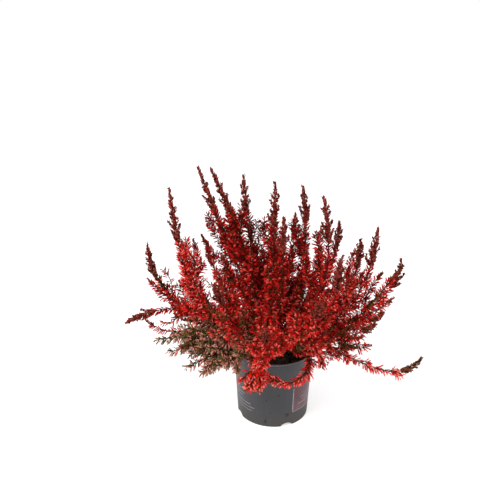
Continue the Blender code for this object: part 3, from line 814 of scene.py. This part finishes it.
def hanging_path(rng, main):
    """A weak shoot low on a stem, which leaves it outwards and hangs over the lip."""
    start = main[int(rng.uniform(*HANG_SHARES) * (len(main) - 1))]
    outward = unit(start * [1.0, 1.0, 0.0])
    way = unit(outward + np.cross(outward, [0.0, 0.0, 1.0]) * rng.uniform(-HANG_SWING, HANG_SWING))
    length = rng.uniform(*HANG_LENGTHS)
    end = start + way * length * HANG_REACH - [0.0, 0.0, rng.uniform(*HANG_DROPS)]
    leave = start + way * length * (HANG_REACH / 2) + [0.0, 0.0, HANG_RISE]
    return curve(start, leave, end + [0.0, 0.0, HANG_BEND], end, BRANCH_POINTS)


def hanging_paths(rng, main, tries, wanted):
    """The first few shoots of many tried that hang clear of the pot."""
    tried = [hanging_path(rng, main) for _ in range(tries)]
    return [path for path in tried if clear_of_pot(path[FREE_FROM:])][:wanted]


mains = main_paths(spread_roots())
sides = side_paths(mains)
twig_rng = random.Random(TWIG_SEED)
twigs, spurs = [], []
for number, (main, (_, _, many, few)) in enumerate(zip(mains, LOOKS), start=1):
    own_twigs = twig_paths(twig_rng, main, many, TWIG_SHARES, TWIG_LENGTHS, main[-1])
    if SPRAYS[number - 1][0] in HANG_HEADINGS:
        own_twigs += hanging_paths(twig_rng, main, 4 * HANGING, HANGING)
    if number == BARE_SPRAY:
        bare_shoots = hanging_paths(twig_rng, main, 8 * BARE_SHOOTS, BARE_SHOOTS)
    twigs.append(own_twigs)
    own_spurs = twig_paths(twig_rng, main, few, SPUR_SHARES, SPUR_LENGTHS)
    if number == POSY_SPRAY:
        own_spurs += twig_paths(twig_rng, main, POSY_SPURS, POSY_SHARES, SPUR_LENGTHS)
    for side in sides[number - 1]:
        own_spurs += twig_paths(twig_rng, side, SIDE_SPURS, SIDE_SPUR_SHARES, SIDE_SPUR_LENGTHS)
    spurs.append(own_spurs)


def guide_mesh(name, runs):
    """A mesh of open lines, one a run, with what each point carries as named values."""
    mesh = bpy.data.meshes.new(name)
    edges, start = [], 0
    for run in runs:
        count = len(run["points"])
        edges += [(start + k, start + k + 1) for k in range(count - 1)]
        start += count
    mesh.from_pydata(np.vstack([run["points"] for run in runs]).tolist(), edges, [])
    for label in runs[0]:
        if label != "points":
            values = np.concatenate([np.broadcast_to(run[label], len(run["points"])) for run in runs])
            mesh.attributes.new(label, "FLOAT", "POINT").data.foreach_set("value", values.astype(np.float32))
    return mesh


def carried(g, label):
    """What the points of a guide mesh carry under a name."""
    return g.node("GeometryNodeInputNamedAttribute", {"data_type": "FLOAT"}, {"Name": label})


def wood_tree():
    """Geometry Nodes that give every line its round wood, as thick as its points say."""
    g, lines = new_tree("wood", Lines="Geometry", Sides="Int", Material="Material")
    sockets = {"Resolution": lines.other("Sides"), "Radius": 1.0}
    rounds = g.node("GeometryNodeCurvePrimitiveCircle", {}, sockets)
    sockets = {"Curve": g.node("GeometryNodeMeshToCurve", {}, {0: lines}), "Profile Curve": rounds}
    sockets.update({"Scale": carried(g, "thick"), "Fill Caps": True})
    wood = g.node("GeometryNodeCurveToMesh", {}, sockets)
    return finished(g, lines, g.node("GeometryNodeSetShadeSmooth", {}, {0: wood}))


def paint_bark(g):
    """Brown bark, redder the more dye it took, with dark cracks."""
    place = g.place()
    grain = g.noise(place, 700.0, 4.0)
    colour = g.mix(g.attribute("dye"), BARK_BROWN, BARK_DYED)
    colour = g.mix(grain * 0.6, colour, BARK_CRACK)
    return {"Base Color": colour, "Normal": g.bump(grain, 0.0004, 0.6)}


def wood_run(path, count, thick, dye):
    """What the wood of one branch follows."""
    places = np.linspace(0.0, run_of(path), count)
    return {"points": resampled(path, places), "thick": np.linspace(*thick, count), "dye": dye}


wood_runs = []
for main, own_sides, own_twigs, own_spurs in zip(mains, sides, twigs, spurs):
    whole = run_of(main)
    places = np.linspace(0.0, whole, STEM_POINTS)
    run = {"points": np.vstack([main[0] - [0, 0, UPRIGHT + BURIED], resampled(main, places)])}
    places = np.append(0.0, places)
    run["thick"] = np.interp(places, np.multiply(STEM_THICK_SHARES, whole), STEM_THICK)
    run["dye"] = np.interp(places, np.multiply(STEM_DYED, whole), [0.0, 1.0])
    wood_runs.append(run)
    wood_runs += [wood_run(path, *SIDE_WOOD) for path in own_sides]
    wood_runs += [wood_run(path, *TWIG_WOOD) for path in own_twigs]
    wood_runs += [wood_run(path, *SPUR_WOOD) for path in own_spurs]
wood_runs += [wood_run(path, *BARE_WOOD) for path in bare_shoots]
bark = new_material("woody stem", paint_bark, Roughness=0.8, Specular_IOR_Level=0.2)
stem_lines = guide_mesh("stem_lines", wood_runs)
stems = grown("woody_stems", stem_lines, wood_tree(), Sides=STEM_SIDES, Material=bark)
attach(stems, "root")


# The florets are papery bells of four narrow sepals that never open wide, about 9 mm long. They crowd
# round every spike, hang from the flat ones, and carry the dye: bright low on the bush, deep near the
# tips, and hardly any on two faded sprays low on the left and on what stands close to them.
FADED = (19, 20)
FLORET_LENGTH = 0.0095
FLORET_BELLY = 0.0048
FLORET_R = 0.00082
FLORET_TIP_R = 0.00088
FLORET_NOTCH_R = 0.00045
FLORET_CUP = 0.0068
FLORET_CUP_DEPTH = 0.0004
FLORET_PITCH = 0.00054
GOLDEN_TURN = math.radians(137.5)
TURN_STRAY = 0.4
SPREAD_STRAY = 0.25
GUIDE_STEP = 0.003
LOOK_SEED = 8

# The florets' size, fill and dye along a spike and up the bush. They crowd in waves along a spike, and
# in whorls set well apart on three low sprays.
SIZE_ALONG = [0.0, 0.1, 0.75, 1.0], [0.8, 1.0, 1.0, 0.8]
SIZE_UP = [0.15, 0.28], [1.0, 0.92]
FILL_UP = [0.18, 0.26], [1.0, 1.2]
DYE_UP = [0.07, 0.10, 0.14, 0.20, 0.30], [1.75, 1.15, 0.86, 0.62, 0.36]
CLUMP_WAVE = 330.0
CLUMP_SHIFT = 1500.0
CLUSTERED = {12: 0.014, 13: 0.014, 14: 0.018}
FADED_FROM = 14
FADING = [0.005, 0.020], [1.0, 0.0]

# How the florets lean out from each kind of stem, from its start to its end in degrees, what stays bare
# of them, and which sprays flower to their ends. Some of the low twigs bear leaves alone.
MAIN_LEANING = 64, 46
END_LEANING = 58, 40
SIDE_LEANING = 62, 44
TWIG_LEANING = 62, 46
SPUR_LEANING = 52, 40
MAIN_SIZE = 1.08
SPUR_SIZE = 0.95
SIDE_BARE, SIDE_TIP = 0.006, 0.008
TWIG_BARE = 0.004
SPUR_BARE = 0.002
HIGH_TWIG_FILL = 0.90
TWIG_FILL = 0.56
FULL_ABOVE = 0.24
SPUR_FILL = 0.65
TWIG_DYES = -0.32, 0.16
LOW_FRONT = (21, 22, 23)
LEAFY_SHARE = 0.24
LEAFY_BELOW = 0.21

RED_BRIGHT = (0.730, 0.017, 0.012)
RED_DEEP = (0.075, 0.002, 0.001)
PINK_TIP_AND_HIGHLIGHT = (0.940, 0.270, 0.200)
FADED_CREAM = (1.000, 0.720, 0.620)
FADED_ROSE = (0.800, 0.270, 0.220)
FADED_GREEN = (0.060, 0.095, 0.020)


def sprig_shape(name, rings):
    """A small closed shape along Z, whose points know how far along it they lie."""
    made = ringed(name, rings)
    length = max(vert.co.z for vert in made.data.vertices)
    reach = made.data.attributes.new("reach", "FLOAT", "POINT")
    reach.data.foreach_set("value", [vert.co.z / length for vert in made.data.vertices])
    return made


def floret_shape():
    """A bell of four sepals: its points stand up and out, and the cup between them is hollow."""
    belly = ring(FLORET_R, FLORET_BELLY, 4)
    crown = []
    for k in range(8):
        turn = math.pi * k / 4
        radius, height = (FLORET_NOTCH_R, FLORET_CUP) if k % 2 else (FLORET_TIP_R, FLORET_LENGTH)
        crown.append((radius * math.cos(turn), radius * math.sin(turn), height))
    return sprig_shape("floret", [[(0, 0, 0)], belly, crown, [(0, 0, FLORET_CUP - FLORET_CUP_DEPTH)]])


def clothing_tree():
    """Geometry Nodes that set a shape all along every line, turned by the golden angle each time.

    Each one leans forward by its line's own spread, sinks a little where the line lies flat, and is
    left out at random where the line's fill is low or, on a one-sided line, where it would stand up.
    """
    g, lines = new_tree("clothed", Lines="Geometry", Shape="Object", Pitch="Float", Jitter="Float",
                        Droop="Float", One_side="Float", Seed="Int", Material="Material")

    def scaled(vector, share):
        return g.node("ShaderNodeVectorMath", {"operation": "SCALE"}, {0: vector, "Scale": share})

    def added(first, second):
        return g.node("ShaderNodeVectorMath", {"operation": "ADD"}, {0: first, 1: second})

    sockets = {"Curve": g.node("GeometryNodeMeshToCurve", {}, {0: lines}), "Length": lines.other("Pitch")}
    spots = g.node("GeometryNodeCurveToPoints", {"mode": "LENGTH"}, sockets, "Points")
    along = spots.other("Tangent")
    turn = g.node("GeometryNodeInputIndex") * GOLDEN_TURN + chance(g, lines, -TURN_STRAY, TURN_STRAY, 1)
    across = g.vector({"X": turn.math("COSINE"), "Y": turn.math("SINE")})
    sockets = {"Vector": across, "Rotation": spots.other("Rotation")}
    outward = g.node("FunctionNodeRotateVector", {}, sockets)
    flat = 1 - g.part(along, "Z").math("ABSOLUTE")
    lifted = g.part(outward, "Z").math("MAXIMUM", 0.0)
    kept = chance(g, lines, 0.0, 1.0, 2) < carried(g, "fill") * (1 - lifted * flat * lines.other("One_side"))
    spread = carried(g, "spread") * chance(g, lines, 1 - SPREAD_STRAY, 1 + SPREAD_STRAY, 3)
    way = added(scaled(outward, spread.math("SINE")), scaled(along, spread.math("COSINE")))
    way = added(way, scaled((0.0, 0.0, -1.0), flat * lines.other("Droop")))
    upright = g.node("FunctionNodeAlignRotationToVector", {"axis": "Z"}, {"Vector": way})
    spin = {"Axis": (0.0, 0.0, 1.0), "Angle": chance(g, lines, 0.0, FULL_TURN, 4)}
    sockets = {"Rotation": upright, "Rotate By": g.node("FunctionNodeAxisAngleToRotation", {}, spin)}
    facing = g.node("FunctionNodeRotateRotation", {"rotation_space": "LOCAL"}, sockets)
    size = carried(g, "size") * (1 + lines.other("Jitter") * chance(g, lines, -1.0, 1.0, 5))
    copies = placed(g, lines, Points=spots, Selection=kept, Rotation=facing, Scale=size)
    sockets = {"Geometry": copies, "Name": "tone", "Value": chance(g, lines, 0.0, 1.0, 6)}
    settings = {"data_type": "FLOAT", "domain": "INSTANCE"}
    return finished(g, lines, g.node("GeometryNodeStoreNamedAttribute", settings, sockets))


def paint_florets(g):
    """Red by each floret's dye, with pink tips that are partly the dye's paler tips and partly a painted
    highlight, or cream and rose where it is faded, and painted shade towards its stalk.
    """
    place = g.place()
    tone, dye, pale, reach = (g.attribute(label) for label in ("tone", "dye", "pale", "reach"))
    vein = g.noise(place, 1600.0, 2.0)
    red = g.mix(dye + (tone - 0.5) * 1.1, RED_DEEP, RED_BRIGHT)
    # Partly the dye's own paler tips and partly a painted highlight: some florets turn pink towards their
    # tips.
    pink_tip_and_highlight = (tone + dye * 0.3 > 0.98) * reach.math("POWER", 2.0) * 0.85
    red = g.mix(pink_tip_and_highlight * dye, red, PINK_TIP_AND_HIGHLIGHT)
    faded = g.ramp(tone, [(0.10, FADED_GREEN), (0.20, FADED_ROSE), (0.55, FADED_CREAM),
                          (0.80, FADED_CREAM), (1.00, FADED_ROSE)])
    colour = g.mix(pale, red, faded)
    # Painted shade: each floret darkens towards its stalk, where it sits among the others; the faded ones
    # darken less.
    sockets = {"Value": reach, "From Max": 0.75, "To Min": 0.15, "To Max": 1.0}
    shade = g.node("ShaderNodeMapRange", {}, sockets)
    shade = (shade + (1 - shade) * pale * 0.5) * (0.8 + vein * 0.4)
    grey = g.node("ShaderNodeCombineColor", {}, {0: shade, 1: shade, 2: shade})
    colour = g.mix(1.0, colour, grey, "MULTIPLY")
    return {"Base Color": colour, "Normal": g.bump(vein, 0.0002, 0.4)}


def fading(points):
    """How faded the florets at some points are: fully on the two faded sprays, less and less near them."""
    far = np.linalg.norm(points[:, None] - faded_wood[None], axis=2).min(axis=1)
    return np.interp(far, *FADING)


def stretch(path, start, end):
    """The distances along a path of one stretch of it, their shares of the stretch, and the points."""
    places = np.linspace(start, end, max(4, round((end - start) / GUIDE_STEP)))
    return places, (places - start) / (end - start), resampled(path, places)


def flower_run(path, start, end, look, leaning, size=1.0):
    """What the florets of one stretch follow: its points, and their size, spread, fill and dye.

    They stand closer and further apart in waves along it, and are brightest where they are closest.
    """
    taken, fill = look
    places, share, points = stretch(path, start, end)
    wave = np.sin(CLUMP_WAVE * places + CLUMP_SHIFT * points[0, 0])
    by_height, smaller, closer = (np.interp(points[:, 2], *pair) for pair in (DYE_UP, SIZE_UP, FILL_UP))
    return {
        "points": points,
        "size": size * smaller * np.interp(share, *SIZE_ALONG),
        "spread": np.radians(np.interp(share, [0.0, 1.0], leaning)),
        "fill": fill * closer * (0.82 + 0.18 * wave),
        "dye": by_height + taken - 0.10 * share + 0.20 * wave,
        "pale": fading(points)}


def sector_of(number):
    """The part of the bush that a spray belongs to."""
    x, y = mains[number - 1][-1, :2]
    turn = math.degrees(math.atan2(y, x)) % 360
    names = ["back_right", "back", "back_left", "front_left", "front", "front_right"]
    return "faded" if number in FADED else names[int(turn // 60)]


floret_finish = new_material("papery florets", paint_florets, Roughness=0.6, Specular_IOR_Level=0.03)
clothed = clothing_tree()
look_rng = random.Random(LOOK_SEED)
flowers, members, leafy_twigs = {}, {}, []
faded_wood = np.vstack([mains[number - 1][FADED_FROM:] for number in FADED])
for number in FADED:
    faded_wood = np.vstack([faded_wood, *sides[number - 1], *twigs[number - 1], *spurs[number - 1]])
for number, main in enumerate(mains, start=1):
    runs = flowers.setdefault(sector_of(number), [])
    members.setdefault(sector_of(number), []).append(f"flower_spray_{number:02d}")
    look = LOOKS[number - 1][:2]
    taken, fill = look
    run = flower_run(main, BARE_SHARE * run_of(main), joint_of(main), look, MAIN_LEANING, MAIN_SIZE)
    if number in CLUSTERED:
        place = np.linspace(0.0, joint_of(main) / CLUSTERED[number], len(run["fill"]))
        run["fill"] *= 0.55 + 0.45 * (np.sin(2 * math.pi * place) > -0.2)
    runs.append(run)
    if number in (*LOW_FRONT, *FADED):
        runs.append(flower_run(main, joint_of(main), run_of(main), look, END_LEANING))
    for path in sides[number - 1]:
        runs.append(flower_run(path, SIDE_BARE, run_of(path) - SIDE_TIP, look, SIDE_LEANING))
    for path in twigs[number - 1]:
        closely = HIGH_TWIG_FILL if path[-1, 2] > FULL_ABOVE or number in FADED else TWIG_FILL
        thinner = (taken + look_rng.uniform(*TWIG_DYES), closely * fill)
        if path[-1, 2] < LEAFY_BELOW and look_rng.random() < LEAFY_SHARE:
            leafy_twigs.append(path)
        else:
            runs.append(flower_run(path, TWIG_BARE, run_of(path), thinner, TWIG_LEANING))
    for path in spurs[number - 1]:
        thinner = (taken, SPUR_FILL * fill)
        runs.append(flower_run(path, SPUR_BARE, run_of(path), thinner, SPUR_LEANING, SPUR_SIZE))
for name, runs in flowers.items():
    floret = floret_shape()
    florets = grown("florets_" + name, guide_mesh("floret_lines", runs), clothed, [floret], Shape=floret,
                    Pitch=FLORET_PITCH, Jitter=0.18, Droop=0.45, One_side=0.6, Seed=len(runs),
                    Material=floret_finish)
    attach(florets, "root")
    "faded_florets" if name == "faded" else "red_florets"
    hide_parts(*members[name])


# The leaves are tiny green scales in the real plant, stained by the dye. They hug the wood between the
# florets, and clothe the end of every spray, past its flowers, with a few short shoots of its own.
# A few sprays took less dye, and their leaves stay brown or olive.
LEAF_LENGTH = 0.0036
LEAF_WIDE = 0.00108
LEAF_KEEL = 0.00065
LEAF_WIDEST = 0.45
LEAF_BEND = 0.0002
LEAF_PITCH = 0.0025
LEAFY_PITCH = 0.00068
TIP_SHOOTS = 11
SHOOT_SEED = 12
SHOOTS_FROM = 0.02
SHOOTS_APART = 0.075
SHOOT_TURN = 2.4
SHOOT_LENGTHS = 0.012, 0.017
SHORTER_EACH = 0.066
SHORT_SHOOTS = 0.6
SHOOT_STEP = 0.002
SHOOT_STRAY = 0.5
SHOOT_POINTS = 6
SHOOT_BENDS = [(0.25, 0.25), (0.60, 0.50), (0.90, 0.55)]
ASKEW = [0.3, 0.5, 0.81]
FLOWERY_TIP_FILL = 0.18

# The leaves of each kind of stem: their size and how far they lean out in degrees, both from its start
# to its end, and how far from one of its ends they begin or stop. On a main stem they begin at a share
# of its length.
STEM_LEAVES = (1.2, 1.2), (38, 32)
SIDE_LEAVES = (1.1, 1.1), (38, 32)
TWIG_LEAVES = (1.2, 0.9), (42, 32)
TIP_LEAVES = (2.1, 1.3), (50, 30)
SHOOT_LEAVES = (1.3, 1.1), (42, 28)
SIDE_TIP_LEAVES = (1.5, 1.1), (42, 28)
LEAFY_TWIG_LEAVES = (1.7, 1.1), (46, 28)
LEAFY_TWIG_DYE = 0.3, 0.7
LEAVES_FROM = 0.001
STEM_LEAVES_FROM = 0.04
SIDE_LEAVES_END, SIDE_TIP_START = 0.010, 0.012
TIP_END = 0.0015
LEAFY_TWIG_FROM = 0.003
STAINS = {11: 0.88, 12: 0.78, 13: 0.78, 14: 0.60, 19: 0.15, 20: 0.15}

MAROON = (0.105, 0.005, 0.003)
MAROON_DARK = (0.028, 0.003, 0.002)
ROSY_BROWN = (0.300, 0.045, 0.030)
OLIVE = (0.040, 0.055, 0.010)
OLIVE_PALE = (0.080, 0.110, 0.020)
BLACK_GREEN = (0.008, 0.016, 0.005)


def leaf_shape():
    """A narrow scale leaf with a keel on its back and a sharp tip that bends inwards."""
    middle = [(LEAF_WIDE, 0.0), (0.0, LEAF_KEEL), (-LEAF_WIDE, 0.0), (0.0, -LEAF_KEEL * 0.4)]
    middle = [(x, y, LEAF_WIDEST * LEAF_LENGTH) for x, y in middle]
    return sprig_shape("leaf", [[(0, 0, 0)], middle, [(0.0, -LEAF_BEND, LEAF_LENGTH)]])


def paint_leaves(g):
    """Olive scales, maroon the more dye they took."""
    place = g.place()
    tone, dye, reach = (g.attribute(label) for label in ("tone", "dye", "reach"))
    stained = g.ramp(tone, [(0.0, MAROON_DARK), (0.45, MAROON), (0.85, MAROON), (1.0, ROSY_BROWN)])
    plain = g.ramp(tone, [(0.0, BLACK_GREEN), (0.6, OLIVE), (1.0, OLIVE_PALE)])
    colour = g.mix(dye, plain, stained)
    colour = g.mix(reach * tone * dye * 0.2, colour, ROSY_BROWN)
    return {"Base Color": colour, "Normal": g.bump(g.noise(place, 1800.0, 2.0), 0.0002, 0.3)}


def leaf_run(path, start, end, size, spread, dye, fill=1.0):
    """What the leaves of one stretch follow."""
    _, share, points = stretch(path, start, end)
    return {
        "points": points,
        "size": np.interp(share, [0.0, 1.0], size),
        "spread": np.radians(np.interp(share, [0.0, 1.0], spread)),
        "fill": fill,
        "dye": np.interp(share, [0.0, 1.0], dye)}


def tip_shoots(rng, main, start, long=1.0):
    """Short shoots that stand forward from the leafy end of a spray, shorter towards its end."""
    whole = run_of(main)
    shoots = []
    for k in range(TIP_SHOOTS):
        place = start + (SHOOTS_FROM + SHOOTS_APART * k) * (whole - start)
        spot, ahead = resampled(main, np.array([place, place + SHOOT_STEP]))
        along = unit(ahead - spot)
        turn = SHOOT_TURN * k + rng.uniform(-SHOOT_STRAY, SHOOT_STRAY)
        level = unit(np.cross(along, ASKEW))
        side = level * math.cos(turn) + np.cross(along, level) * math.sin(turn)
        length = rng.uniform(*SHOOT_LENGTHS) * (1 - SHORTER_EACH * k) * long
        bends = [spot + (onward * along + aside * side) * length for onward, aside in SHOOT_BENDS]
        shoots.append(curve(spot, *bends, SHOOT_POINTS))
    return shoots


shoot_rng = random.Random(SHOOT_SEED)
stem_leaves, tip_leaves = [], []
for number, main in enumerate(mains, start=1):
    whole, joint = run_of(main), joint_of(main)
    stain = STAINS.get(number, 1.0)
    full, half, light = (stain, stain), (0.5 * stain, stain), (0.1 * stain, 0.7 * stain)
    stem_leaves.append(leaf_run(main, STEM_LEAVES_FROM * whole, joint, *STEM_LEAVES, (0.0, stain)))
    fill = FLOWERY_TIP_FILL if number in (*LOW_FRONT, *FADED) else 1.0
    tip_leaves.append(leaf_run(main, joint, whole - TIP_END, *TIP_LEAVES, full, fill))
    long = SHORT_SHOOTS if number in (*CLUSTERED, *FADED) else 1.0
    for path in tip_shoots(shoot_rng, main, joint, long):
        tip_leaves.append(leaf_run(path, LEAVES_FROM, run_of(path), *SHOOT_LEAVES, full, fill))
    for path in sides[number - 1]:
        length = run_of(path)
        stem_leaves.append(leaf_run(path, LEAVES_FROM, length - SIDE_LEAVES_END, *SIDE_LEAVES, half))
        tip_leaves.append(leaf_run(path, length - SIDE_TIP_START, length, *SIDE_TIP_LEAVES, full))
    for path in twigs[number - 1]:
        stem_leaves.append(leaf_run(path, LEAVES_FROM, run_of(path), *TWIG_LEAVES, light))
for path in leafy_twigs:
    tip_leaves.append(leaf_run(path, LEAFY_TWIG_FROM, run_of(path), *LEAFY_TWIG_LEAVES, LEAFY_TWIG_DYE))
leaf_finish = new_material("scale leaves", paint_leaves, Roughness=0.6, Specular_IOR_Level=0.03)
leaf = leaf_shape()
shared = {"Shape": leaf, "Droop": 0.0, "One_side": 0.0, "Material": leaf_finish}
leaves = grown("scale_leaves", guide_mesh("leaf_lines", stem_leaves), clothed, Pitch=LEAF_PITCH,
               Jitter=0.25, Seed=71, **shared)
tips = grown("leafy_tips", guide_mesh("tip_lines", tip_leaves), clothed, [leaf], Pitch=LEAFY_PITCH,
             Jitter=0.2, Seed=72, **shared)
for leafy in (leaves, tips):
    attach(leafy, "root")
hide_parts(*[f"leafy_tip_{number:02d}" for number in range(1, len(mains) + 1)])


# The studio is a white light table under a white tent, with a large soft lamp at the front left and a
# weaker one on the right. The camera stands 0.8 m in front of the pot and looks down past its left side.
CAMERA_PLACE = (0.0, -0.8, 0.536)
CAMERA_TURN = (math.radians(90 - 19.37), 0.0, math.radians(3.35))
CAMERA_LENS = 48.29
FLOOR_HALF = 3.0
PAPER_GREY = (0.60, 0.60, 0.60, 1.0)
PAPER_GLOW = 0.55
WHITE = (1.0, 1.0, 1.0, 1.0)
LAMPS = [("key", (-1.1, -1.5, 1.9), 0.8, 55.0), ("fill", (1.6, -1.0, 1.2), 1.2, 8.0)]
LAMP_AIM = Vector((0, 0, 0.15))

camera_data = bpy.data.cameras.new("camera")
camera_data.lens = CAMERA_LENS
camera_data.sensor_width = 36.0
camera = linked("camera", camera_data)
camera.location = CAMERA_PLACE
camera.rotation_euler = CAMERA_TURN
bpy.context.scene.camera = camera

paper = bpy.data.meshes.new("paper_floor")
corners = [(-FLOOR_HALF, -FLOOR_HALF, 0), (FLOOR_HALF, -FLOOR_HALF, 0), (FLOOR_HALF, FLOOR_HALF, 0)]
paper.from_pydata([*corners, (-FLOOR_HALF, FLOOR_HALF, 0)], [], [(0, 1, 2, 3)])
floor = linked("paper_floor", paper)
paper.materials.append(new_material("white paper", lambda g: {}, Roughness=1.0, Specular_IOR_Level=0.0,
                                    Base_Color=PAPER_GREY, Emission_Color=WHITE,
                                    Emission_Strength=PAPER_GLOW))

world = bpy.data.worlds.new("studio")
world.use_nodes = True
world.node_tree.nodes["Background"].inputs["Color"].default_value = WHITE
world.node_tree.nodes["Background"].inputs["Strength"].default_value = 1.0
bpy.context.scene.world = world
for label, place, size, power in LAMPS:
    lamp_data = bpy.data.lights.new(label, "AREA")
    lamp_data.size = size
    lamp_data.energy = power
    lamp = linked(label, lamp_data)
    lamp.location = place
    lamp.rotation_euler = (LAMP_AIM - Vector(place)).to_track_quat("-Z", "Y").to_euler()
bpy.context.scene.view_settings.view_transform = "Standard"
